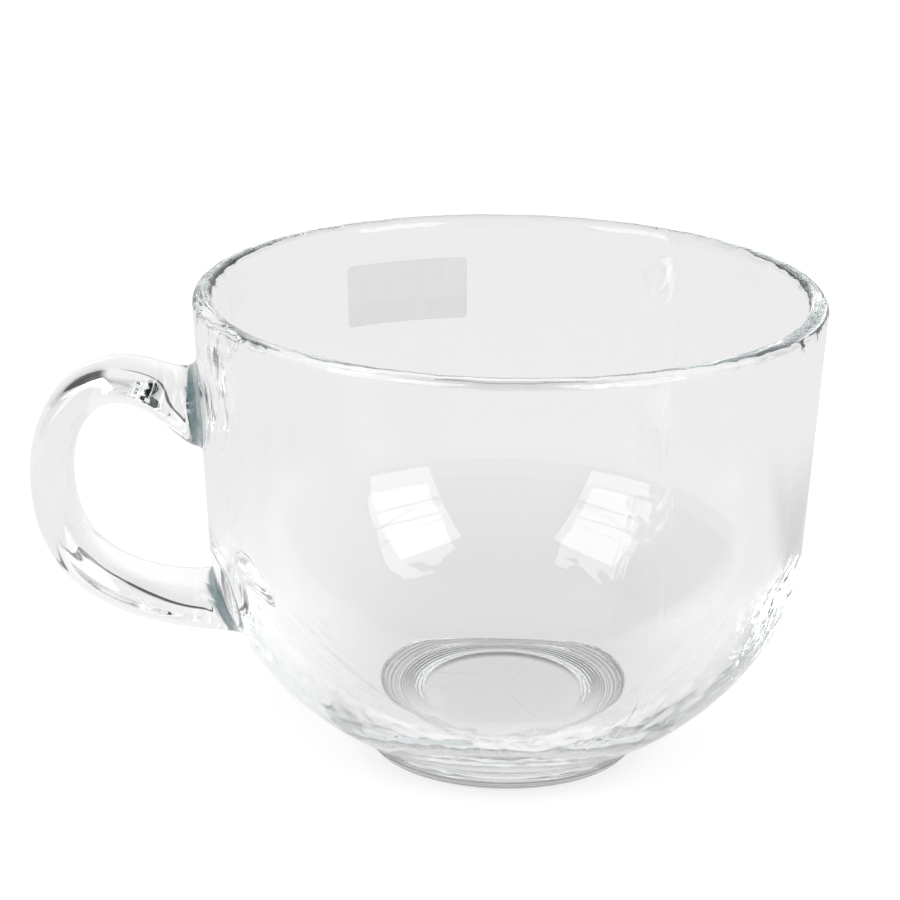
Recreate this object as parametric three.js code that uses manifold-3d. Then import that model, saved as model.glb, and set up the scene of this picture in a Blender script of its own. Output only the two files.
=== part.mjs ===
// A pressed clear glass mug: a wide straight-walled bowl that rounds into a low foot, an ear handle
// whose flared ends sit against the wall, and a small blank film label on the far side.
// Millimetres, +Z up. The origin is on the bowl's axis in the plane that the foot stands on.
// The handle points along -X and the label is on the +Y half of the wall.
import * as THREE from 'three';
import { mergeVertices } from 'three/addons/utils/BufferGeometryUtils.js';
import Module from 'manifold-3d';

// Bowl: overall form
const RIM_DIAMETER = 110;
const MUG_HEIGHT = 84.2;
const SHOULDER_DIAMETER = 104.6; // outside, where the straight wall turns into the round belly
const SHOULDER_HEIGHT = 38.8;
const BELLY_DROP = 17; // how far the belly curve carries on along the wall before it turns in
const BELLY_RUN = 11; // how far the belly curve carries on along its own slope above the foot
const BELLY_SLOPE = 21; // degrees above level where the belly meets the foot

// Bowl: wall, lip and floor
const LIP_THICKNESS = 3.6;
const WALL_THICKNESS = 3.0;
const LIP_DEPTH = 9; // height over which the wall swells to the lip
const FLOOR_HEIGHT = 8.2; // inside floor above the table
const FLOOR_DIAMETER = 35; // flat disc of the inside floor
const INSIDE_RISE = 2.2; // how far above the outside shoulder the inside starts to turn in
const INSIDE_DROP = 16.3; // how far the inside curve carries on along the wall from there
const INSIDE_RUN = 13.1; // how far it carries on level from the edge of the floor disc

// Bowl: foot
const FOOT_DIAMETER = 48.4;
const FOOT_HEIGHT = 3.7;
const FOOT_EDGE_RADIUS = 3;
const RING_WIDTH = 3.7; // flat ring that the mug stands on
const RECESS_DEPTH = 0.8; // hollow inside that ring
const RECESS_SLOPE = 3.1; // radial width of the hollow's sloping edge

// Handle
const HANDLE_PROJECTION = 28.9; // from the rim's edge to the handle's outermost point
const HANDLE_DROP = 13.6; // from the rim down to the top of the handle
const HANDLE_CLEARANCE = 21.2; // from the table up to the handle's lower root
const HANDLE_BEND_DROP = 20.5; // from the handle's top down to its outermost point
const HANDLE_LEVEL_RUN = 13; // from the rim's edge out to where the level top starts to bend
const UPPER_BEND_FULLNESS = 0.56; // 0.55 bends like an ellipse, higher is squarer
const LOWER_BEND_FULLNESS = 0.67;
const ROD_THICKNESS = 7.5; // seen from the side
const ROD_WIDTH = 14; // across the mug's tangent
const ROOT_WIDTH = 15.6;
const UPPER_ROOT_DIP = 1.8; // how far the handle's top slopes down to its upper root
const UPPER_ROOT_HEIGHT = 13.4;
const LOWER_ROOT_HEIGHT = 9.8;
const FLARE_LENGTH = 11; // length over which the rod widens to a root
const ROOT_FILLET = 2.8; // concave run-out on the wall at the sides of each root
const ROOT_CLIMB = 4.4; // the same above the upper root, which runs out high up the wall
const ROOT_TOE = 0.5; // the same where a root is almost sharp
const SECTION_SQUARENESS = 2.5; // 2 is an ellipse, higher is squarer

// Label
const LABEL_WIDTH = 24.6;
const LABEL_HEIGHT = 11.5;
const LABEL_DROP = 8.4; // from the rim down to the label's upper edge
const LABEL_ANGLE = 111.7; // degrees from +X round to the label's middle
const LABEL_THICKNESS = 0.2;

// Clearance that keeps the pieces apart where they are joined
const SEAM_GAP = 0.3;

// Facets
const ROUND_SEGMENTS = 96;
const CURVE_STEPS = 12;
const LIP_STEPS = 6;
const RAIL_STEPS = 10;
const FILLET_STEPS = 4;
const SECTION_SIDES = 20;
const LABEL_STEPS = 10;

const { Vector2, Vector3 } = THREE;
const rimRadius = RIM_DIAMETER / 2;
const lipRadius = LIP_THICKNESS / 2;
const footRadius = FOOT_DIAMETER / 2;
const polar = (length, degrees) =>
  new Vector2(length, 0).rotateAround(new Vector2(), THREE.MathUtils.degToRad(degrees));

// The bowl's profile, as (distance from the axis, height)

const lipSide = new Vector2(rimRadius, MUG_HEIGHT - lipRadius);
const shoulder = new Vector2(SHOULDER_DIAMETER / 2, SHOULDER_HEIGHT);
const footTop = new Vector2(footRadius, FOOT_HEIGHT);
const wallDown = shoulder.clone().sub(lipSide).normalize();
const wallIn = new Vector2(wallDown.y, -wallDown.x);

function undersidePoints() {
  const ringInside = footRadius - FOOT_EDGE_RADIUS - RING_WIDTH;
  const path = new THREE.Path();
  path.moveTo(0, RECESS_DEPTH);
  path.lineTo(ringInside - RECESS_SLOPE, RECESS_DEPTH);
  path.bezierCurveTo(
    ringInside - (2 / 3) * RECESS_SLOPE,
    RECESS_DEPTH,
    ringInside - RECESS_SLOPE / 2,
    0,
    ringInside,
    0,
  );
  path.lineTo(footRadius - FOOT_EDGE_RADIUS, 0);
  return path.getPoints(LIP_STEPS);
}

function outsidePoints() {
  const edge = FOOT_EDGE_RADIUS;
  const footEdge = new THREE.EllipseCurve(footRadius - edge, edge, edge, edge, -Math.PI / 2, 0);
  const belly = new THREE.CubicBezierCurve(
    footTop,
    footTop.clone().add(polar(BELLY_RUN, BELLY_SLOPE)),
    shoulder.clone().addScaledVector(wallDown, BELLY_DROP),
    shoulder,
  );
  return [...footEdge.getPoints(LIP_STEPS), ...belly.getPoints(CURVE_STEPS), lipSide];
}

function insidePoints() {
  const lipInside = lipSide.clone().add(new Vector2(-LIP_THICKNESS, 0));
  const wallTop = lipSide
    .clone()
    .addScaledVector(wallDown, LIP_DEPTH)
    .addScaledVector(wallIn, WALL_THICKNESS);
  const wallEnd = shoulder
    .clone()
    .addScaledVector(wallIn, WALL_THICKNESS)
    .addScaledVector(wallDown, -INSIDE_RISE);
  const floorEdge = new Vector2(FLOOR_DIAMETER / 2, FLOOR_HEIGHT);
  const lip = new THREE.EllipseCurve(rimRadius - lipRadius, lipSide.y, lipRadius, lipRadius, 0, Math.PI);
  const swell = new THREE.CubicBezierCurve(
    lipInside,
    lipInside.clone().addScaledVector(wallDown, LIP_DEPTH / 2),
    wallTop.clone().addScaledVector(wallDown, -LIP_DEPTH / 2),
    wallTop,
  );
  const belly = new THREE.CubicBezierCurve(
    wallEnd,
    wallEnd.clone().addScaledVector(wallDown, INSIDE_DROP),
    floorEdge.clone().add(new Vector2(INSIDE_RUN, 0)),
    floorEdge,
  );
  const floorCentre = new Vector2(0, FLOOR_HEIGHT);
  return [
    ...lip.getPoints(LIP_STEPS).slice(1),
    ...swell.getPoints(LIP_STEPS).slice(1),
    ...belly.getPoints(CURVE_STEPS),
    floorCentre,
  ];
}

const outside = outsidePoints();

// The outside radius of the bowl at a height.
function wallAt(height) {
  const above = outside.findIndex((point, i) => i > 0 && point.y >= height);
  const upper = outside[above];
  const lower = outside[above - 1];
  const share = (height - lower.y) / (upper.y - lower.y);
  return THREE.MathUtils.lerp(lower.x, upper.x, share);
}

const revolve = (points) => new THREE.LatheGeometry(points, ROUND_SEGMENTS).rotateX(Math.PI / 2);

// The space that the bowl takes up, grown by a gap and closed to the axis.
function bowlEnvelope(gap) {
  const grown = outside.map((point, i) => {
    const before = outside[Math.max(i - 1, 0)];
    const after = outside[Math.min(i + 1, outside.length - 1)];
    const along = after.clone().sub(before).normalize();
    return new Vector2(point.x + along.y * gap, point.y - along.x * gap);
  });
  return revolve([new Vector2(0, grown[0].y), ...grown, new Vector2(0, grown.at(-1).y)]);
}

// Closed bodies from rings of points, and cuts between them

// A closed body through rings of equally many points, each ring filled at the two ends.
function loft(rings) {
  const sides = rings[0].length;
  const middles = [rings[0], rings.at(-1)].map((ring) =>
    ring.reduce((sum, point) => sum.add(point), new Vector3()).divideScalar(sides),
  );
  const points = [...rings.flat(), ...middles];
  const first = rings.length * sides;
  const lastRing = (rings.length - 1) * sides;
  const faces = [];
  for (let side = 0; side < sides; side++) {
    const next = (side + 1) % sides;
    for (let ring = 0; ring < rings.length - 1; ring++) {
      const here = ring * sides;
      const there = here + sides;
      faces.push(here + side, here + next, there + next);
      faces.push(here + side, there + next, there + side);
    }
    faces.push(first, next, side);
    faces.push(first + 1, lastRing + side, lastRing + next);
  }
  return new THREE.BufferGeometry().setFromPoints(points).setIndex(faces);
}

const wasm = await Module();
wasm.setup();

function solidFrom(geometry) {
  const bare = geometry.clone();
  bare.deleteAttribute('normal');
  bare.deleteAttribute('uv');
  const merged = mergeVertices(bare, 1e-4);
  return new wasm.Manifold(
    new wasm.Mesh({
      numProp: 3,
      vertProperties: merged.attributes.position.array,
      triVerts: new Uint32Array(merged.index.array),
    }),
  );
}

function geometryFrom(solid) {
  const mesh = solid.getMesh();
  const geometry = new THREE.BufferGeometry();
  geometry.setAttribute('position', new THREE.BufferAttribute(mesh.vertProperties, 3));
  geometry.setIndex(new THREE.BufferAttribute(mesh.triVerts, 1));
  geometry.computeVertexNormals();
  return geometry;
}

// Handle: two rails, seen from the side as (distance from the axis, height), run from the upper root
// round to the lower one. Each ring of the rod spans from the outer rail to the inner rail.

const handleTop = MUG_HEIGHT - HANDLE_DROP;
const bendHeight = handleTop - HANDLE_BEND_DROP;
const reach = rimRadius + HANDLE_PROJECTION;
const levelEnd = rimRadius + HANDLE_LEVEL_RUN;

// A rail's chain of curves: a concave run-out on the wall, the run to the level top, the tight upper
// bend, the long lower bend, and a run-out again. Roots are heights on the wall. A run-out climbs the
// wall by its first number and stands off it by its second.
function rail({ upperRoot, upperRunOut, inset, lowerRoot, lowerRunOut }) {
  const { lerp } = THREE.MathUtils;
  const onWall = (height) => new Vector2(wallAt(height), height);
  const offWall = (height, distance) => new Vector2(wallAt(height) + distance, height);
  const top = new Vector2(levelEnd, handleTop - inset);
  const bend = new Vector2(reach - inset, bendHeight);
  const upper = offWall(upperRoot, upperRunOut[1]);
  const lower = offWall(lowerRoot, lowerRunOut[1]);
  return [
    new THREE.QuadraticBezierCurve(onWall(upperRoot + upperRunOut[0]), onWall(upperRoot), upper),
    new THREE.CubicBezierCurve(
      upper,
      new Vector2(lerp(upper.x, top.x, 1 / 4), upper.y),
      new Vector2(lerp(upper.x, top.x, 1 / 2), top.y),
      top,
    ),
    new THREE.CubicBezierCurve(
      top,
      new Vector2(lerp(top.x, bend.x, UPPER_BEND_FULLNESS), top.y),
      new Vector2(bend.x, lerp(bend.y, top.y, UPPER_BEND_FULLNESS)),
      bend,
    ),
    new THREE.CubicBezierCurve(
      bend,
      new Vector2(bend.x, lerp(bend.y, lower.y, LOWER_BEND_FULLNESS)),
      new Vector2(lerp(lower.x, bend.x, LOWER_BEND_FULLNESS), lower.y),
      lower,
    ),
    new THREE.QuadraticBezierCurve(lower, onWall(lowerRoot), onWall(lowerRoot + lowerRunOut[0])),
  ];
}

function railPoints(curves) {
  const steps = [FILLET_STEPS, RAIL_STEPS, RAIL_STEPS, 2 * RAIL_STEPS, FILLET_STEPS];
  const points = curves.flatMap((curve, i) => curve.getPoints(steps[i]).slice(1));
  return [curves[0].getPoint(0), ...points];
}

function handleRings() {
  const outer = railPoints(
    rail({
      upperRoot: handleTop - UPPER_ROOT_DIP,
      upperRunOut: [ROOT_CLIMB, ROOT_FILLET],
      inset: 0,
      lowerRoot: HANDLE_CLEARANCE,
      lowerRunOut: [-ROOT_TOE, ROOT_TOE],
    }),
  );
  const inner = railPoints(
    rail({
      upperRoot: handleTop - UPPER_ROOT_DIP - UPPER_ROOT_HEIGHT,
      upperRunOut: [-ROOT_TOE, ROOT_TOE],
      inset: ROD_THICKNESS,
      lowerRoot: HANDLE_CLEARANCE + LOWER_ROOT_HEIGHT,
      lowerRunOut: [ROOT_FILLET, ROOT_FILLET],
    }),
  );
  const round = Array.from({ length: SECTION_SIDES }, (_, i) => (2 * Math.PI * i) / SECTION_SIDES);
  const squared = (value) => Math.sign(value) * Math.abs(value) ** (2 / SECTION_SQUARENESS);
  const rings = outer.map((high, i) => {
    const low = inner[i];
    const middle = high.clone().add(low).multiplyScalar(0.5);
    const half = high.clone().sub(low).multiplyScalar(0.5);
    const radius = wallAt(middle.y);
    const fromWall = middle.x - radius;
    const nearness = (length) => THREE.MathUtils.clamp(1 - fromWall / length, 0, 1) ** 2;
    const flared = THREE.MathUtils.lerp(ROD_WIDTH, ROOT_WIDTH, nearness(FLARE_LENGTH));
    const width = flared + 2 * ROOT_FILLET * nearness(ROOT_FILLET);
    return round.map((angle) => {
      const up = squared(Math.cos(angle));
      const side = squared(Math.sin(angle));
      const spot = middle.clone().addScaledVector(half, up);
      const across = (side * width) / 2;
      // Near the wall a ring bends back at its sides, as the wall does.
      const bentBack = (radius - Math.sqrt(radius ** 2 - across ** 2)) * nearness(FLARE_LENGTH);
      return new Vector3(bentBack - spot.x, across, spot.y);
    });
  });
  const sunk = (ring) => ring.map((point) => new Vector3(point.x + WALL_THICKNESS, point.y, point.z));
  return [sunk(rings[0]), ...rings, sunk(rings.at(-1))];
}

// Label: a strip bent round the wall
function labelRings() {
  const top = MUG_HEIGHT - LABEL_DROP;
  const bottom = top - LABEL_HEIGHT;
  const halfTurn = LABEL_WIDTH / 2 / wallAt(top);
  return Array.from({ length: LABEL_STEPS + 1 }, (_, i) => {
    const along = (2 * i) / LABEL_STEPS - 1;
    const angle = THREE.MathUtils.degToRad(LABEL_ANGLE) + along * halfTurn;
    const corner = (height, lift) =>
      new Vector3(1, 0, 0)
        .multiplyScalar(wallAt(height) + SEAM_GAP + lift)
        .applyAxisAngle(new Vector3(0, 0, 1), angle)
        .setZ(height);
    return [
      corner(bottom, 0),
      corner(top, 0),
      corner(top, LABEL_THICKNESS),
      corner(bottom, LABEL_THICKNESS),
    ];
  });
}

// The pieces

const clearGlass = () =>
  new THREE.MeshStandardMaterial({
    color: 0xe8eeee,
    roughness: 0.03,
    metalness: 0,
    transparent: true,
    opacity: 0.35,
  });
const film = new THREE.MeshStandardMaterial({ color: 0xdcdbdd, roughness: 0.45, metalness: 0 });

function piece(name, geometry, material) {
  const mesh = new THREE.Mesh(geometry, material);
  mesh.name = name;
  return mesh;
}

const bowlProfile = [...undersidePoints(), ...outside.slice(1), ...insidePoints()];
const handleSolid = solidFrom(loft(handleRings())).subtract(solidFrom(bowlEnvelope(SEAM_GAP)));

const mug = new THREE.Group();
mug.add(piece('bowl', revolve(bowlProfile), clearGlass()));
mug.add(piece('handle', geometryFrom(handleSolid), clearGlass()));
mug.add(piece('label', loft(labelRings()), film));

export default mug;
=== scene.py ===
import math

import bpy
from mathutils import Matrix, Vector
from mathutils.geometry import interpolate_bezier


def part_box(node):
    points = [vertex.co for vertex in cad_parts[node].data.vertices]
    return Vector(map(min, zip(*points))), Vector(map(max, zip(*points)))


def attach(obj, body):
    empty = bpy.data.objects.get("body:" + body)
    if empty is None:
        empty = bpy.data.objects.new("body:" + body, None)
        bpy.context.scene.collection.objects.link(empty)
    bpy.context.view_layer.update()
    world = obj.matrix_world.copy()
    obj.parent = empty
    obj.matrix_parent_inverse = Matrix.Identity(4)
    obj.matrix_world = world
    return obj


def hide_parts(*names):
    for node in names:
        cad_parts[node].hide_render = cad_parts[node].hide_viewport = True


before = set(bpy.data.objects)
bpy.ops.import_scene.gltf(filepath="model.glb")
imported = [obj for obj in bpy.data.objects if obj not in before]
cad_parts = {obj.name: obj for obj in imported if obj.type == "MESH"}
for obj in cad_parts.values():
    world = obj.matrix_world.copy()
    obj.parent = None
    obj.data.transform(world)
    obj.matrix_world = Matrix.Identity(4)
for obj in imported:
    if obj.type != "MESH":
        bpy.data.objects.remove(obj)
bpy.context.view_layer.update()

# Bowl
# One pressed gather of clear soda-lime glass, turned about +Z: a rounded lip, a nearly straight wall,
# a round belly, a thick floor and a low ring foot. Fire polishing leaves its skin smooth, with faint
# ripples where the mould chilled it.
MM = 0.001  # sizes of the glass and of the label are in mm
bowl_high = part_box("bowl")[1] / MM
RIM_RADIUS = bowl_high.y
MUG_HEIGHT = bowl_high.z
SHOULDER = Vector((52.3, 38.8))  # outside, where the straight wall turns into the belly
FOOT_TOP = Vector((24.2, 3.7))
FOOT_EDGE = 3.0
FOOT_STEPS = 24
WAIST_HEIGHT = 0.6
WAIST_RUN = 0.9
BELLY_DROP = 17.0
BELLY_RUN = 11.0
BELLY_SLOPE = math.radians(21)
LIP_THICKNESS = 3.6
WALL = 3.0
INSIDE_RISE = 2.2  # the inside turns into the belly this much above the outside
INSIDE_DROP = 16.3
INSIDE_RUN = 13.1
FLOOR_RADIUS = 17.5
FLOOR_HEIGHT = 8.2
RECESS_DEPTH = 0.8
RECESS_RADIUS = 14.4
RECESS_BEND = 15.4  # these two pull the curve from the recess down to the ring
RING_BEND = 15.9
RING_INSIDE = 17.5
RECESS_GROOVE = 0.06
RING_GROOVE = 0.05
BOWL_SEGMENTS = 336


def curve(steps, *corners):
    """Points of a cubic curve from its four corners, both ends included."""
    return interpolate_bezier(*(Vector(corner) for corner in corners), steps + 1)


def arc(steps, centre, radius, start, end):
    """Points of a circular arc between two angles in degrees, both ends included."""
    turns = [math.radians(start + (end - start) * step / steps) for step in range(steps + 1)]
    return [Vector(centre) + radius * Vector((math.cos(turn), math.sin(turn))) for turn in turns]


def line(steps, start, end):
    """Evenly spaced points of a line, both ends included."""
    return [Vector(start).lerp(Vector(end), step / steps) for step in range(steps + 1)]


def lathed(points, depth, count):
    """Fine rings that the lathe left in the mould, pressed upwards into a stretch of the underside."""
    start, width = points[0].x, points[-1].x - points[0].x
    lifts = [depth * math.sin(math.pi * count * (point.x - start) / width) ** 2 for point in points]
    return [point + Vector((0, lift)) for point, lift in zip(points, lifts)]


lip_radius = LIP_THICKNESS / 2
lip_side = Vector((RIM_RADIUS, MUG_HEIGHT - lip_radius))
lip_inside = lip_side - Vector((LIP_THICKNESS, 0))
wall_down = (SHOULDER - lip_side).normalized()
wall_in = Vector((wall_down.y, -wall_down.x))
belly_out = Vector((math.cos(BELLY_SLOPE), math.sin(BELLY_SLOPE)))
wall_end = SHOULDER + wall_in * WALL - wall_down * INSIDE_RISE
floor_edge = Vector((FLOOR_RADIUS, FLOOR_HEIGHT))
recess_edge = Vector((RECESS_RADIUS, RECESS_DEPTH))
ring_edge = Vector((RING_INSIDE, 0))
ring_outside = FOOT_TOP.x - FOOT_EDGE
foot_waist = FOOT_TOP - Vector((0, WAIST_HEIGHT))
belly_start = FOOT_TOP + belly_out * WAIST_RUN

recess_side = curve(40, recess_edge, (RECESS_BEND, RECESS_DEPTH), (RING_BEND, 0), ring_edge)
underside = (
    line(6, (0, RECESS_DEPTH), recess_edge)
    + lathed(recess_side, RECESS_GROOVE, count=4)
    + lathed(line(40, ring_edge, (ring_outside, 0)), RING_GROOVE, count=5)
)
outside = (
    arc(FOOT_STEPS, (ring_outside, FOOT_EDGE), FOOT_EDGE, -90, 0)
    + curve(8, foot_waist, FOOT_TOP, FOOT_TOP, belly_start)
    + curve(
        48,
        belly_start,
        FOOT_TOP + belly_out * BELLY_RUN,
        SHOULDER + wall_down * BELLY_DROP,
        SHOULDER,
    )
    + line(24, SHOULDER, lip_side)
)
inside = (
    arc(18, lip_side - Vector((lip_radius, 0)), lip_radius, 0, 180)
    + line(12, lip_inside, wall_end)
    + curve(
        48,
        wall_end,
        wall_end + wall_down * INSIDE_DROP,
        floor_edge + Vector((INSIDE_RUN, 0)),
        floor_edge,
    )
    + line(8, floor_edge, (0, FLOOR_HEIGHT))
)


class Signal:
    """A socket in a node tree. Arithmetic on it adds Math nodes to the tree."""

    def __init__(self, graph, socket):
        self.graph = graph
        self.socket = socket

    def output(self, name):
        """Another output of the same node."""
        return Signal(self.graph, self.socket.node.outputs[name])

    def math(self, operation, *others):
        """A Math node with this socket as its first value."""
        values = dict(enumerate((self, *others)))
        return self.graph.add("ShaderNodeMath", {"operation": operation}, values)

    def __add__(self, other):
        return self.math("ADD", other)

    def __sub__(self, other):
        return self.math("SUBTRACT", other)

    def __rsub__(self, other):
        return self.graph.add("ShaderNodeMath", {"operation": "SUBTRACT"}, {0: other, 1: self})

    def __mul__(self, other):
        return self.math("MULTIPLY", other)

    def __truediv__(self, other):
        return self.math("DIVIDE", other)

    def __rtruediv__(self, other):
        return self.graph.add("ShaderNodeMath", {"operation": "DIVIDE"}, {0: other, 1: self})

    def __mod__(self, other):
        return self.math("MODULO", other)

    def __pow__(self, other):
        return self.math("POWER", other)

    def __lt__(self, other):
        return self.math("LESS_THAN", other)

    def __gt__(self, other):
        return self.math("GREATER_THAN", other)

    def __abs__(self):
        return self.math("ABSOLUTE")

    __radd__ = __add__
    __rmul__ = __mul__


class Graph:
    """A node tree that is filled one node at a time."""

    def __init__(self, tree):
        self.tree = tree
        self.tree.nodes.clear()

    def add(self, kind, settings=None, inputs=None):
        """A node of that kind: its settings first, then values or links for its sockets."""
        node = self.tree.nodes.new(kind)
        for name, value in (settings or {}).items():
            setattr(node, name, value)
        for key, value in (inputs or {}).items():
            if isinstance(value, Signal):
                self.tree.links.new(value.socket, node.inputs[key])
            else:
                node.inputs[key].default_value = value
        return Signal(self, node.outputs[0]) if node.outputs else None


def revolve_tree():
    """Turns a profile in the XZ plane about Z, ripples its skin and gives it its material."""
    tree = bpy.data.node_groups.new("revolved_glass", "GeometryNodeTree")
    for name, kind in (
        ("Profile", "NodeSocketGeometry"),
        ("Segments", "NodeSocketInt"),
        ("Ripple Length", "NodeSocketFloat"),
        ("Material", "NodeSocketMaterial"),
    ):
        tree.interface.new_socket(name, in_out="INPUT", socket_type=kind)
    tree.interface.new_socket("Glass", in_out="OUTPUT", socket_type="NodeSocketGeometry")
    graph = Graph(tree)
    profile = graph.add("NodeGroupInput")
    segments = profile.output("Segments")
    points = graph.add("GeometryNodeAttributeDomainSize", {"component": "MESH"}, {0: profile})
    rows = segments + 1
    grid = graph.add("GeometryNodeMeshGrid", None, {"Vertices X": points, "Vertices Y": rows})
    index = graph.add("GeometryNodeInputIndex")
    turn = (index % rows) * (2 * math.pi) / segments
    column = (index / rows).math("FLOOR")
    place = graph.add("GeometryNodeInputPosition")
    spot = graph.add(
        "GeometryNodeSampleIndex",
        {"data_type": "FLOAT_VECTOR"},
        {"Geometry": profile, "Value": place, "Index": column},
    )
    apart = graph.add("ShaderNodeSeparateXYZ", None, {0: spot})
    radius = apart.output("X")
    around = graph.add(
        "ShaderNodeCombineXYZ",
        None,
        {"X": radius * turn.math("COSINE"), "Y": radius * turn.math("SINE"), "Z": apart.output("Z")},
    )
    marked = graph.add("GeometryNodeSetPosition", None, {"Geometry": grid, "Position": around})
    for name in ("outer", "ripple", "wear_and_shade"):
        mark = graph.add("GeometryNodeInputNamedAttribute", {"data_type": "FLOAT"}, {"Name": name})
        here = graph.add(
            "GeometryNodeSampleIndex",
            {"data_type": "FLOAT"},
            {"Geometry": profile, "Value": mark, "Index": column},
        )
        marked = graph.add(
            "GeometryNodeStoreNamedAttribute",
            {"data_type": "FLOAT", "domain": "POINT"},
            {"Geometry": marked, "Name": name, "Value": here},
        )
    merged = graph.add("GeometryNodeMergeByDistance", None, {"Geometry": marked, "Distance": 1e-6})
    closed = graph.add("GeometryNodeFlipFaces", None, {0: merged})
    noise = graph.add(
        "ShaderNodeTexNoise",
        None,
        {"Scale": 1 / profile.output("Ripple Length"), "Detail": 2.0, "Roughness": 0.4},
    )
    normal = graph.add("GeometryNodeInputNormal")
    height = graph.add("GeometryNodeInputNamedAttribute", {"data_type": "FLOAT"}, {"Name": "ripple"})
    push = (noise - 0.5) * height
    offset = graph.add("ShaderNodeVectorMath", {"operation": "SCALE"}, {0: normal, "Scale": push})
    rippled = graph.add("GeometryNodeSetPosition", None, {"Geometry": closed, "Offset": offset})
    smooth = graph.add("GeometryNodeSetShadeSmooth", None, {0: rippled})
    whole = graph.add("GeometryNodeRealizeInstances", None, {0: smooth})
    glass = graph.add(
        "GeometryNodeSetMaterial", None, {"Geometry": whole, "Material": profile.output("Material")}
    )
    graph.add("NodeGroupOutput", None, {0: glass})
    return tree


def input_id(tree, name):
    """The identifier of a node group's input."""
    return next(item.identifier for item in tree.interface.items_tree if item.name == name)


GLASS_INDEX = 1.52
GLASS_TINT = (0.66, 0.735, 0.745, 1.0)
TINT_DENSITY = 4.2
RELIEF = 0.03  # full height of what the bump draws on the skin
STREAKS_PER_METRE = 260.0
STREAK_RELIEF = 0.02  # this and the next two are shares of the full height
CRINKLE_RELIEF = 0.4
SEAM_RELIEF = 0.35
CRINKLES_PER_METRE = 620.0
CRINKLED_BELLY = (4.0, 9.0, 14.0, 24.0)  # heights where the crinkles start, are full, fade and end
CRINKLED_LIP = (74.0, 79.0)
SEAMS = 3
FIRST_SEAM = math.radians(60)
SEAM_EDGE = (0.002, 0.012)
AIR_MARK = Vector((25.2, 45.0, 78.9))
AIR_MARK_RADIUS = 1.1
AIR_MARK_EDGE = (0.1, 0.5)
# painted shade: a dull dark teal for the band where the handle's roots meet the wall
ROOT_SHADE_COLOUR = (0.14, 0.2, 0.21, 1.0)
ROOT_SHADE_ROUGHNESS = 0.15
# partly wear and partly painted shade: a dark grey for the foot's grooves and edge
WEAR_AND_SHADE_COLOUR = (0.16, 0.16, 0.16, 1.0)
WEAR_AND_SHADE_ROUGHNESS = 0.6
PATCHINESS = 0.4
ROOT_WIDTH = 15.6
ROOT_FILLET = 2.8
ROOT_CLIMB = 4.4
ROOT_TOE = 0.5
UPPER_ROOT = 68.8
UPPER_ROOT_HEIGHT = 13.4
LOWER_ROOT = 21.2
LOWER_ROOT_HEIGHT = 9.8
SQUARENESS = 2.5  # 2 is an ellipse, and more is squarer
JOINTS = (  # lowest and highest point of each root on the wall
    (UPPER_ROOT - UPPER_ROOT_HEIGHT - ROOT_TOE, UPPER_ROOT + ROOT_CLIMB),
    (LOWER_ROOT - ROOT_TOE, LOWER_ROOT + LOWER_ROOT_HEIGHT + ROOT_FILLET),
)
JOINT_WIDTH = ROOT_WIDTH + 2 * ROOT_FILLET


def ease(value, start, end):
    """0 before the start and 1 after the end, with a soft change between them."""
    return value.graph.add(
        "ShaderNodeMapRange",
        {"interpolation_type": "SMOOTHSTEP"},
        {"Value": value, "From Min": start, "From Max": end},
    )


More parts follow.
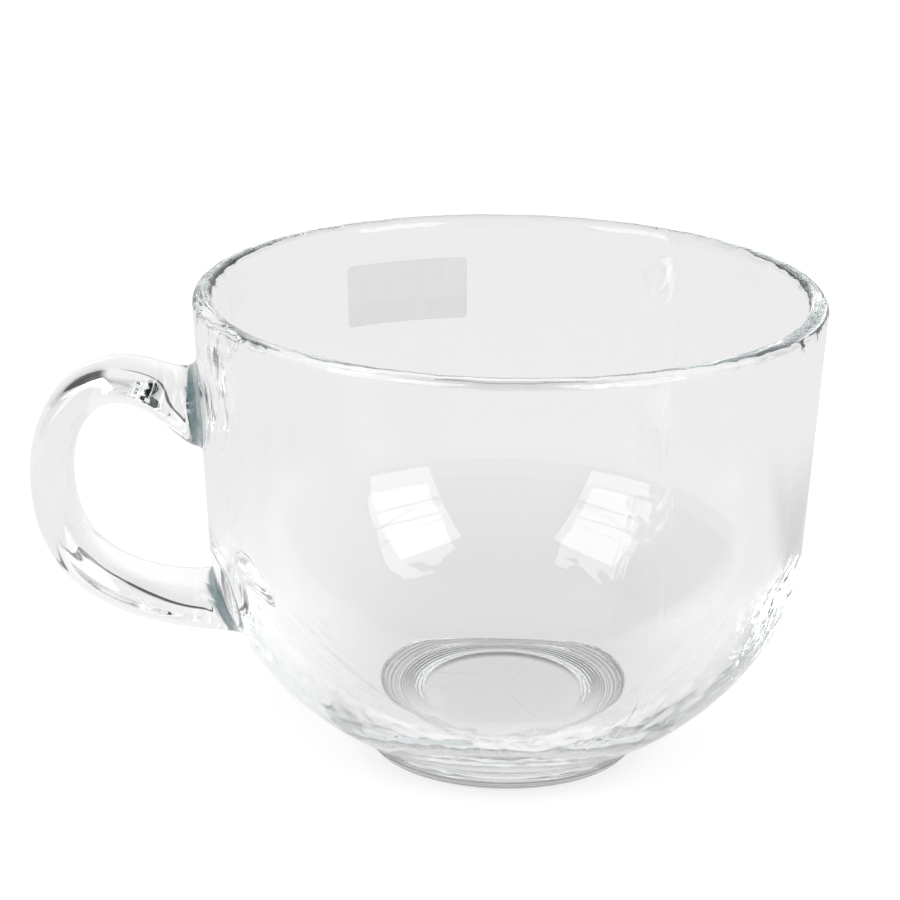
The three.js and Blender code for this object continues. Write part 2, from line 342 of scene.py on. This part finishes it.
def clear_glass():
    """Clear glass with a slight green cast in its depth. Its polished skin has faint streaks, crinkles
    where it was chilled, the seams of the mould and an air mark at the end of a seam. A dull dark teal
    band of painted shade lies along the handle's roots, and the foot carries a dark grey that is partly
    wear and partly painted shade. Inside a joint it has no skin: on a root's cap, and on the wall under a
    root."""
    glass = bpy.data.materials.new("clear_glass")
    glass.use_nodes = True
    graph = Graph(glass.node_tree)
    place = graph.add("ShaderNodeTexCoord").output("Object")
    apart = graph.add("ShaderNodeSeparateXYZ", None, {0: place})
    x, y, z = (apart.output(axis) for axis in "XYZ")
    streaks = graph.add(
        "ShaderNodeTexNoise", None, {"Vector": place, "Scale": STREAKS_PER_METRE, "Detail": 3.0}
    )
    crinkles = graph.add(
        "ShaderNodeTexNoise", None, {"Vector": place, "Scale": CRINKLES_PER_METRE, "Detail": 2.0}
    )
    height = z / MM
    belly = ease(height, *CRINKLED_BELLY[:2]) * (1 - ease(height, *CRINKLED_BELLY[2:]))
    chilled = belly + ease(height, *CRINKLED_LIP)
    turn = y.math("ARCTAN2", x) - FIRST_SEAM
    seam = 1 - ease(abs((turn * (SEAMS / 2)).math("SINE")), *SEAM_EDGE)
    away = graph.add("ShaderNodeVectorMath", {"operation": "DISTANCE"}, {0: place, 1: AIR_MARK * MM})
    ring = 1 - ease(abs(away.output("Value") / MM - AIR_MARK_RADIUS), *AIR_MARK_EDGE)
    fine = streaks * STREAK_RELIEF + crinkles * chilled * CRINKLE_RELIEF
    relief = fine + seam * SEAM_RELIEF + ring
    bump = graph.add(
        "ShaderNodeBump", None, {"Strength": 1.0, "Distance": RELIEF * MM, "Height": relief}
    )
    polished = graph.add(
        "ShaderNodeBsdfPrincipled",
        None,
        {
            "Base Color": (1.0, 1.0, 1.0, 1.0),
            "Roughness": 0.0,
            "IOR": GLASS_INDEX,
            "Transmission Weight": 1.0,
            "Normal": bump,
        },
    )
    painted_root_shade = graph.add(
        "ShaderNodeBsdfPrincipled",
        None,
        {
            "Base Color": ROOT_SHADE_COLOUR,
            "Roughness": ROOT_SHADE_ROUGHNESS,
            "IOR": GLASS_INDEX,
            "Normal": bump,
        },
    )
    wear_and_shade_skin = graph.add(
        "ShaderNodeBsdfPrincipled", None, {"Base Color": WEAR_AND_SHADE_COLOUR, "Roughness": WEAR_AND_SHADE_ROUGHNESS}
    )
    clear = graph.add("ShaderNodeBsdfTransparent")
    outer, cap, band, wear_and_shade = (
        graph.add("ShaderNodeAttribute", {"attribute_name": name}).output("Fac")
        for name in ("outer", "cap", "band", "wear_and_shade")
    )
    patchy = 1 - PATCHINESS + streaks * PATCHINESS
    back = graph.add("ShaderNodeNewGeometry").output("Backfacing")
    # the band of painted shade at the roots, on front faces only
    root_shade_mask = band * (1 - back) * patchy
    skin = graph.add("ShaderNodeMixShader", None, {0: root_shade_mask, 1: polished, 2: painted_root_shade})
    # the foot's dark grey, partly wear and partly painted shade
    skin = graph.add("ShaderNodeMixShader", None, {0: wear_and_shade * patchy, 1: skin, 2: wear_and_shade_skin})
    under = 0
    for low, high in JOINTS:
        across = abs(y) / (JOINT_WIDTH / 2 * MM)
        along = abs(z - (low + high) / 2 * MM) / ((high - low) / 2 * MM)
        under = (across**SQUARENESS + along**SQUARENESS < 1) + under
    joint = under * (outer > 0.5) * (x < 0) + cap
    surface = graph.add("ShaderNodeMixShader", None, {0: joint, 1: skin, 2: clear})
    depth = graph.add(
        "ShaderNodeVolumeAbsorption", None, {"Color": GLASS_TINT, "Density": TINT_DENSITY}
    )
    graph.add("ShaderNodeOutputMaterial", None, {"Surface": surface, "Volume": depth})
    return glass


RIPPLE_LENGTH = 3.2
INSIDE_RIPPLE = 0.003
OUTSIDE_RIPPLE = 0.005  # this and the next two come on top
BELLY_RIPPLE = 0.24
LIP_RIPPLE = 0.34
RIPPLED_BELLY = (5.0, 10.0, 18.0, 26.0)  # heights where the ripples start, are full, fade and end
RIPPLED_LIP = (MUG_HEIGHT - 6.0, MUG_HEIGHT - 2.0)
# Marks on the foot that are partly wear and partly painted shade: dark grey in the grooves of the standing
# ring, and over the foot's edge with evenly spaced lines of painted shade, where reflections inside the
# glass draw dark lines.
RING_WEAR_AND_SHADE = 0.75
RING_MARK_RADIUS = 19.4  # the standing ring carries wear and painted shade outside this radius
RING_MARK_LIFT = 0.03  # and only in what is pressed up more than this
FOOT_WEAR_AND_SHADE = 0.30
FOOT_SHADE_LINE = 0.6
FOOT_LINE_STEPS = 6  # from one line of painted shade on the foot's edge to the next
FOOT_LINE_WIDTH = 2  # of those steps


def ramp(value, start, end):
    """0 before the start and 1 after the end, with an even change between them."""
    return min(max((value - start) / (end - start), 0), 1)


def link_piece(name, mesh):
    """A new object at the origin with that mesh."""
    piece = bpy.data.objects.new(name, mesh)
    bpy.context.scene.collection.objects.link(piece)
    return piece


profile_points = underside + outside + inside
profile_mesh = bpy.data.meshes.new("bowl_profile")
profile_mesh.from_pydata(
    [(point.x * MM, 0, point.y * MM) for point in profile_points],
    [(i, i + 1) for i in range(len(profile_points) - 1)],
    [],
)
outer_mark = profile_mesh.attributes.new("outer", "FLOAT", "POINT")
for i, mark in enumerate(outer_mark.data):
    mark.value = float(len(underside) <= i < len(underside) + len(outside))
ripple_mark = profile_mesh.attributes.new("ripple", "FLOAT", "POINT")
for point, out, mark in zip(profile_points, outer_mark.data, ripple_mark.data):
    belly = ramp(point.y, *RIPPLED_BELLY[:2]) * (1 - ramp(point.y, *RIPPLED_BELLY[2:]))
    ripple = INSIDE_RIPPLE + (OUTSIDE_RIPPLE + BELLY_RIPPLE * belly) * out.value
    mark.value = (ripple + LIP_RIPPLE * ramp(point.y, *RIPPLED_LIP)) * MM
# the dark grey share of wear and painted shade on the ring's grooves and the foot's edge
wear_and_shade_mark = profile_mesh.attributes.new("wear_and_shade", "FLOAT", "POINT")
for point, mark in zip(underside, wear_and_shade_mark.data):
    mark.value = RING_WEAR_AND_SHADE * (point.x > RING_MARK_RADIUS and point.y > RING_MARK_LIFT)
for step in range(FOOT_STEPS):
    on_line = step % FOOT_LINE_STEPS < FOOT_LINE_WIDTH
    wear_and_shade_mark.data[len(underside) + step].value = FOOT_WEAR_AND_SHADE + FOOT_SHADE_LINE * on_line
bowl = link_piece("bowl_glass", profile_mesh)
glass = clear_glass()
revolving = bowl.modifiers.new("revolve", "NODES")
revolving.node_group = revolve_tree()
for name, value in (
    ("Segments", BOWL_SEGMENTS),
    ("Ripple Length", RIPPLE_LENGTH * MM),
    ("Material", glass),
):
    revolving[input_id(revolving.node_group, name)] = value
ready = bowl.evaluated_get(bpy.context.evaluated_depsgraph_get())
bowl_mesh = bpy.data.meshes.new_from_object(ready)
bowl.modifiers.clear()
bowl.data = bowl_mesh
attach(bowl, "root")
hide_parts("bowl")

# Handle
# A pressed ear of the same glass. Its rod swells to a flared root at each end, and the roots are fused
# to the wall while hot. A dull dark teal band of painted shade marks where they meet the bowl.
REACH = -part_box("handle")[0].x / MM
HANDLE_TOP = 70.6
LEVEL_END = RIM_RADIUS + 13  # from here the top of the rod bends down
BEND_HEIGHT = 50.1
UPPER_BEND = 0.56
LOWER_BEND = 0.67
KNEE = 2 / 3
ROD_THICKNESS = 7.5
ROD_WIDTH = 14.0
FLARE_LENGTH = 11.0
SINK = 0.25
BAND_WIDTH = 2.0
SECTION_SIDES = 64
CAP_SHARES = (1, 0.8, 0.6, 0.4, 0.2)


def wall_radius(height):
    """Outside radius of the bowl at a height."""
    for low, high in zip(outside, outside[1:]):
        if low.y <= height <= high.y and high.y > low.y:
            return low.x + (high.x - low.x) * (height - low.y) / (high.y - low.y)


def on_wall(height):
    """Point of the bowl's outside at a height, as (distance from the axis, height)."""
    return Vector((wall_radius(height), height))


def rail(upper_root, upper_climb, inset, lower_root, lower_climb, upper_spread, lower_spread):
    """One edge of the rod seen from the side, as (distance from the axis, height)."""
    high, low = on_wall(upper_root + upper_climb), on_wall(lower_root + lower_climb)
    high_knee, low_knee = on_wall(upper_root), on_wall(lower_root)
    upper = high_knee + Vector((upper_spread, 0))
    lower = low_knee + Vector((lower_spread, 0))
    top = Vector((LEVEL_END, HANDLE_TOP - inset))
    bend = Vector((REACH - inset, BEND_HEIGHT))
    stretches = (
        curve(8, high, high.lerp(high_knee, KNEE), upper.lerp(high_knee, KNEE), upper),
        curve(24, upper, (upper.lerp(top, 1 / 4).x, upper.y), (upper.lerp(top, 1 / 2).x, top.y), top),
        curve(
            24,
            top,
            (top.lerp(bend, UPPER_BEND).x, top.y),
            (bend.x, bend.lerp(top, UPPER_BEND).y),
            bend,
        ),
        curve(
            48,
            bend,
            (bend.x, bend.lerp(lower, LOWER_BEND).y),
            (lower.lerp(bend, LOWER_BEND).x, lower.y),
            lower,
        ),
        curve(8, lower, lower.lerp(low_knee, KNEE), low.lerp(low_knee, KNEE), low),
    )
    return stretches[0] + [point for stretch in stretches[1:] for point in stretch[1:]]


outer_rail = rail(UPPER_ROOT, ROOT_CLIMB, 0, LOWER_ROOT, -ROOT_TOE, ROOT_FILLET, ROOT_TOE)
inner_rail = rail(
    UPPER_ROOT - UPPER_ROOT_HEIGHT,
    -ROOT_TOE,
    ROD_THICKNESS,
    LOWER_ROOT + LOWER_ROOT_HEIGHT,
    ROOT_FILLET,
    ROOT_TOE,
    ROOT_FILLET,
)


def squared(value):
    """A sine or cosine, changed so that the ellipse it draws gets squarer."""
    return math.copysign(abs(value) ** (2 / SQUARENESS), value)


def handle_ring(high, low):
    """The rod's section between two facing points of its rails, bent to the wall where it is near."""
    middle, half = (high + low) / 2, (high - low) / 2
    radius = wall_radius(middle.y)
    flare = ramp(middle.x - radius, FLARE_LENGTH, 0) ** 2
    fillet = ramp(middle.x - radius, ROOT_FILLET, 0) ** 2
    width = ROD_WIDTH + (ROOT_WIDTH - ROD_WIDTH) * flare + 2 * ROOT_FILLET * fillet
    ring = []
    for side in range(SECTION_SIDES):
        turn = 2 * math.pi * side / SECTION_SIDES
        spot = middle + half * squared(math.cos(turn))
        across = squared(math.sin(turn)) * width / 2
        sag = (radius - math.sqrt(radius**2 - across**2)) * flare
        ring.append(Vector((sag - spot.x, across, spot.y)))
    return ring


def sunk(point):
    """The point of a cap, moved to just inside the wall."""
    radius = wall_radius(point.z) - SINK
    return Vector((-math.sqrt(radius**2 - point.y**2), point.y, point.z))


def cap_rings(ring):
    """Rings that close a root just inside the wall, and follow the wall's curve."""
    middle = sum(ring, Vector()) / len(ring)
    return [[sunk(middle.lerp(point, share)) for point in ring] for share in CAP_SHARES]


def loft(name, rings):
    """A closed mesh through rings of equally many points, with the first and last filled."""
    sides = len(rings[0])
    points = [point * MM for ring in rings for point in ring]
    faces = []
    for start in range(0, (len(rings) - 1) * sides, sides):
        for side in range(sides):
            next_side = (side + 1) % sides
            faces.append((start + side, start + next_side, start + sides + next_side, start + sides + side))
    last = (len(rings) - 1) * sides
    faces.append(tuple(reversed(range(sides))))
    faces.append(tuple(range(last, last + sides)))
    mesh = bpy.data.meshes.new(name)
    mesh.from_pydata(points, [], faces)
    mesh.shade_smooth()
    return mesh


rings = [handle_ring(high, low) for high, low in zip(outer_rail, inner_rail)]
upper_cap, lower_cap = cap_rings(rings[0]), cap_rings(rings[-1])
handle = link_piece("handle_glass", loft("handle", upper_cap[::-1] + rings + lower_cap))
handle.data.materials.append(glass)
cap_mark = handle.data.attributes.new("cap", "FLOAT", "FACE")
capped = len(upper_cap) * SECTION_SIDES
skinned = (len(rings) - 1) * SECTION_SIDES
for i, mark in enumerate(cap_mark.data):
    mark.value = float(not capped <= i < capped + skinned)
# where the band of painted shade lies on the handle, next to the wall
band_mark = handle.data.attributes.new("band", "FLOAT", "POINT")
for point, mark in zip(handle.data.vertices, band_mark.data):
    spot = point.co / MM
    mark.value = float(math.hypot(spot.x, spot.y) - wall_radius(spot.z) < BAND_WIDTH)
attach(handle, "root")
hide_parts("handle")

# Label
# A small blank film of translucent grey plastic, cut with rounded corners and stuck flat on the outside
# of the far wall. It is a little cloudy, and denser along its lower part and its edge.
LABEL_TURN = math.radians(111.7)
LABEL_WIDTH = 24.6
LABEL_THICKNESS = 0.2
LABEL_GAP = 0.3
LABEL_CORNER = 0.7
LABEL_STEPS = 96
FILM_COLOUR = (0.5, 0.49, 0.5, 1.0)
FILM_ROUGHNESS = 0.3
CLOUD_ROUGHNESS = 0.2
FILM_COVER = 0.065
CLOUD_COVER = 0.05  # this and the next two come on top
GRAIN_COVER = 0.02
DENSE_COVER = 0.02
CLOUDS_PER_METRE = 420.0
GRAINS_PER_METRE = 2600.0
GRAIN_RELIEF = 0.05
LOWER_EDGE = (-0.35, -0.2)  # shares of half the height
LONG_EDGE = (0.93, 0.99)
SHORT_EDGE = (0.97, 0.995)  # shares of half the width
label_low, label_high = (corner.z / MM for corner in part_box("label"))
label_middle = (label_low + label_high) / 2
label_half = (label_high - label_low) / 2


def label_ring(share):
    """The film's cross-section at a share of its width, lower where a corner is rounded."""
    along = (share - 0.5) * LABEL_WIDTH
    cut = max(LABEL_CORNER - (LABEL_WIDTH / 2 - abs(along)), 0)
    half = label_half - LABEL_CORNER + math.sqrt(LABEL_CORNER**2 - cut**2)
    turn = LABEL_TURN + along / RIM_RADIUS
    corners = ((-half, 0), (half, 0), (half, LABEL_THICKNESS), (-half, LABEL_THICKNESS))
    ring = []
    for lift, out in corners:
        height = label_middle + lift
        radius = wall_radius(height) + LABEL_GAP + out
        ring.append(Vector((radius * math.cos(turn), radius * math.sin(turn), height)))
    return ring


def film_material():
    """A clear film with cloudy patches, denser below and along its edge."""
    film = bpy.data.materials.new("label_film")
    film.use_nodes = True
    graph = Graph(film.node_tree)
    place = graph.add("ShaderNodeTexCoord").output("Object")
    apart = graph.add("ShaderNodeSeparateXYZ", None, {0: place})
    clouds = graph.add(
        "ShaderNodeTexNoise", None, {"Vector": place, "Scale": CLOUDS_PER_METRE, "Detail": 4.0}
    )
    grain = graph.add(
        "ShaderNodeTexNoise", None, {"Vector": place, "Scale": GRAINS_PER_METRE, "Detail": 2.0}
    )
    height = (apart.output("Z") / MM - label_middle) / label_half
    turn = apart.output("Y").math("ARCTAN2", apart.output("X")) - LABEL_TURN
    along = abs(turn) * (2 * RIM_RADIUS / LABEL_WIDTH)
    edge = ease(abs(height), *LONG_EDGE).math("MAXIMUM", ease(along, *SHORT_EDGE))
    lower = 1 - ease(height, *LOWER_EDGE)
    cover = FILM_COVER + clouds * CLOUD_COVER + grain * GRAIN_COVER
    cover = cover + lower * DENSE_COVER + edge * DENSE_COVER
    bump = graph.add(
        "ShaderNodeBump", None, {"Strength": 0.3, "Distance": GRAIN_RELIEF * MM, "Height": grain}
    )
    roughness = FILM_ROUGHNESS + clouds * CLOUD_ROUGHNESS
    body = graph.add(
        "ShaderNodeBsdfPrincipled",
        None,
        {"Base Color": FILM_COLOUR, "Roughness": roughness, "Normal": bump},
    )
    clear = graph.add("ShaderNodeBsdfTransparent")
    surface = graph.add("ShaderNodeMixShader", None, {0: cover, 1: clear, 2: body})
    graph.add("ShaderNodeOutputMaterial", None, {"Surface": surface})
    return film


label_rings = [label_ring(step / LABEL_STEPS) for step in range(LABEL_STEPS + 1)]
label = link_piece("label_film", loft("label", label_rings))
label.data.shade_flat()
label.data.materials.append(film_material())
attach(label, "root")
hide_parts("label")

# Table
# A plain pale table that runs on into a white background, so that the outline of the glass stands free.
# What the glass shows of it carries painted light and shade: a painted pool of light beside and in front of
# the mug, where the glass gathers light, and painted shadow under the mug, in a half ring under the back of
# the foot and behind it at the right. Lengths here and below are in metres.
TABLE_REACH = 1.25
TABLE_DROP = 0.0004
TABLE_COLOUR = (0.9, 0.9, 0.9, 1.0)
TABLE_WHITE = (1.0, 0.985, 0.992, 1.0)
CAMERA_LEVEL = 1.35
CAMERA_SHARE = 0.5  # the rest is the lit table, with the mug's shadow
GLASS_LEVEL = 0.85
GLASS_SHARE = 0.85
NEAR_MUG = (0.05, 0.2)  # distances from the axis between which the mug's effect on the table ends
NEAR_LOSS = 0.12
GATHERED = 0.39
IN_FRONT = (0.012, 0.03)
IN_FRONT_SHARE = 0.9
BESIDE = (0.015, 0.07)
BEHIND = (0.04, 0.1)
AT_RIGHT = (0.03, 0.06)
SIDE_LOSS = 0.35
UNDER_FOOT = (0.012, 0.02)
UNDER_FOOT_LOSS = 0.08
FOOT_SHADOW_RADIUS = 0.0178
FOOT_SHADOW_EDGE = (0.0016, 0.0034)
FOOT_SHADOW_BACK = (-0.014, 0.014)
FOOT_SHADOW_LOSS = 0.92
SHADE_RIGHT = (0.078, 0.098)
SHADE_BACK = (0.045, 0.065)
SHADE_END = (0.16, 0.22)
SHADE_LOSS = 0.25


def ray_kinds(graph):
    """Whether a ray comes straight from the camera, and whether it has met glass."""
    path = graph.add("ShaderNodeLightPath")
    glassy = path.output("Is Glossy Ray").math("MAXIMUM", path.output("Is Transmission Ray"))
    return path.output("Is Camera Ray"), glassy


def table_level(graph):
    """The painted light and shade of a place on the table, as a ray that has met glass sees it."""
    place = graph.add("ShaderNodeTexCoord").output("Object")
    spot = graph.add("ShaderNodeSeparateXYZ", None, {0: place})
    right, back = spot.output("X"), spot.output("Y")
    across = abs(right)
    reach = (across**2 + back**2) ** 0.5
    near = 1 - ease(reach, *NEAR_MUG)
    in_front = ease(back * -1, *IN_FRONT) * IN_FRONT_SHARE
    beside = ease(across, *BESIDE) * (1 - ease(back, *BEHIND) * SIDE_LOSS)
    around = in_front.math("MAXIMUM", beside) * (1 - ease(right, *AT_RIGHT) * SIDE_LOSS)
    under = 1 - ease(reach, *UNDER_FOOT)
    rim = 1 - ease(abs(reach - FOOT_SHADOW_RADIUS), *FOOT_SHADOW_EDGE)
    foot_shadow = rim * ease(back, *FOOT_SHADOW_BACK)
    shade = ease(right, *SHADE_RIGHT) * ease(back, *SHADE_BACK) * (1 - ease(reach, *SHADE_END))
    level = GLASS_LEVEL + near * (around * GATHERED - NEAR_LOSS) - under * UNDER_FOOT_LOSS
    return level * (1 - foot_shadow * FOOT_SHADOW_LOSS) * (1 - shade * SHADE_LOSS)


floor_mesh = bpy.data.meshes.new("floor")
floor_mesh.from_pydata(
    [(x * TABLE_REACH, y * TABLE_REACH, 0) for x, y in ((-1, -1), (1, -1), (1, 1), (-1, 1))],
    [],
    [(0, 1, 2, 3)],
)
floor = link_piece("floor", floor_mesh)
floor.location.z = -TABLE_DROP
table = bpy.data.materials.new("pale_table")
table.use_nodes = True
graph = Graph(table.node_tree)
seen, glassy = ray_kinds(graph)
hidden = (1 - seen) * glassy
lit = graph.add("ShaderNodeBsdfDiffuse", None, {"Color": TABLE_COLOUR})
strength = seen * CAMERA_LEVEL + hidden * table_level(graph)
white = graph.add("ShaderNodeEmission", None, {"Color": TABLE_WHITE, "Strength": strength})
share = seen * CAMERA_SHARE + hidden * GLASS_SHARE
mixed = graph.add("ShaderNodeMixShader", None, {0: share, 1: lit, 2: white})
graph.add("ShaderNodeOutputMaterial", None, {"Surface": mixed})
floor.data.materials.append(table)

# Studio
# White to the camera. In the glass it is bright behind the mug and dimmer in front, with a dark side
# beyond the handle and a dark strip low behind. Light that was reflected many times is evened out.
ROOM_LEVEL = 0.75
BACKDROP_LEVEL = 0.905
FRONT_LOSS = 0.43
FRONT_EDGE = (0.1, 0.5)  # this and the next edges are parts of a direction of length 1
DARK_TURN = math.radians(195)
DARK_EDGE = (0.62, 0.80)
DARK_TOP = (0.72, 0.88)
DARK_LOSS = 0.97
STRIP_TOP = (0.02, 0.05)
STRIP_LEFT = (-0.2, -0.05)
STRIP_RIGHT = (0.28, 0.5)
STRIP_LOSS = 0.9
MANY_BOUNCES = (8, 14)
EVEN_LEVEL = 1.0
EVEN_SHARE = 0.5

world = bpy.data.worlds.new("studio")
bpy.context.scene.world = world
world.use_nodes = True
graph = Graph(world.node_tree)
seen, glassy = ray_kinds(graph)
ways = graph.add("ShaderNodeSeparateXYZ", None, {0: graph.add("ShaderNodeTexCoord").output("Generated")})
right, back, up = (ways.output(axis) for axis in "XYZ")
toward = (right * math.cos(DARK_TURN) + back * math.sin(DARK_TURN)) / (1 - up**2) ** 0.5
dark = ease(toward, *DARK_EDGE) * (1 - ease(up, *DARK_TOP))
front = ease(back * -1, *FRONT_EDGE)
strip = (1 - ease(up, *STRIP_TOP)) * ease(right, *STRIP_LEFT) * (1 - ease(right, *STRIP_RIGHT))
level = (BACKDROP_LEVEL - FRONT_LOSS * front) * (1 - DARK_LOSS * dark) * (1 - STRIP_LOSS * strip)
evened = ease(seen.output("Ray Depth"), *MANY_BOUNCES) * EVEN_SHARE
level = level * (1 - evened) + evened * EVEN_LEVEL
strength = seen + (1 - seen) * (glassy * level + (1 - glassy) * ROOM_LEVEL)
shine = graph.add("ShaderNodeBackground", None, {"Color": (1.0, 1.0, 1.0, 1.0), "Strength": strength})
graph.add("ShaderNodeOutputWorld", None, {"Surface": shine})

# Softboxes
# Two tall softboxes stand in front of the mug, left and right of the camera. A bar divides each of
# them into an upper and a lower pane.
SOFTBOXES = ((48, 0.68), (-51, 0.70))  # each one's turn about +Z in degrees, and its width
BOX_DISTANCE = 1.3
BOX_HEIGHT = 1.14
BOX_ELEVATION = 29
BOX_RADIANCE = 3.2
PANE_GAP = 0.03
for azimuth, width in SOFTBOXES:
    turn = Matrix.Rotation(math.radians(azimuth), 4, "Z")
    turn = turn @ Matrix.Rotation(math.radians(90 - BOX_ELEVATION), 4, "X")
    for row in (-1, 1):
        lamp = bpy.data.lights.new("softbox_pane", "AREA")
        lamp.shape = "RECTANGLE"
        lamp.size = width
        lamp.size_y = BOX_HEIGHT / 2 - PANE_GAP
        lamp.energy = BOX_RADIANCE * math.pi * lamp.size * lamp.size_y
        pane = bpy.data.objects.new("softbox_pane", lamp)
        bpy.context.scene.collection.objects.link(pane)
        pane.matrix_world = turn @ Matrix.Translation((0, row * BOX_HEIGHT / 4, BOX_DISTANCE))
        pane.visible_camera = False

# Camera
# It stands in front of the mug and looks down on it through a long lens, with the handle at the left.
# Light paths are long enough to cross both walls of the bowl and be reflected inside the glass.
LENS = 143.6  # this and the sensor are in mm
SENSOR = 36.0
STAND = (0, -0.6, 0.2484)
PITCH, YAW, ROLL = (math.radians(angle) for angle in (17.874, -0.96, 0.85))
GLASS_BOUNCES = 40
CLEAR_BOUNCES = 16
camera_data = bpy.data.cameras.new("camera")
camera_data.lens = LENS
camera_data.sensor_width = SENSOR
camera = bpy.data.objects.new("camera", camera_data)
bpy.context.scene.collection.objects.link(camera)
camera.matrix_world = (
    Matrix.Translation(STAND)
    @ Matrix.Rotation(-YAW, 4, "Z")
    @ Matrix.Rotation(math.pi / 2 - PITCH, 4, "X")
    @ Matrix.Rotation(ROLL, 4, "Z")
)
bpy.context.scene.camera = camera
bpy.context.scene.view_settings.view_transform = "Standard"
paths = bpy.context.scene.cycles
paths.max_bounces = GLASS_BOUNCES
paths.glossy_bounces = GLASS_BOUNCES
paths.transmission_bounces = GLASS_BOUNCES
paths.transparent_max_bounces = CLEAR_BOUNCES
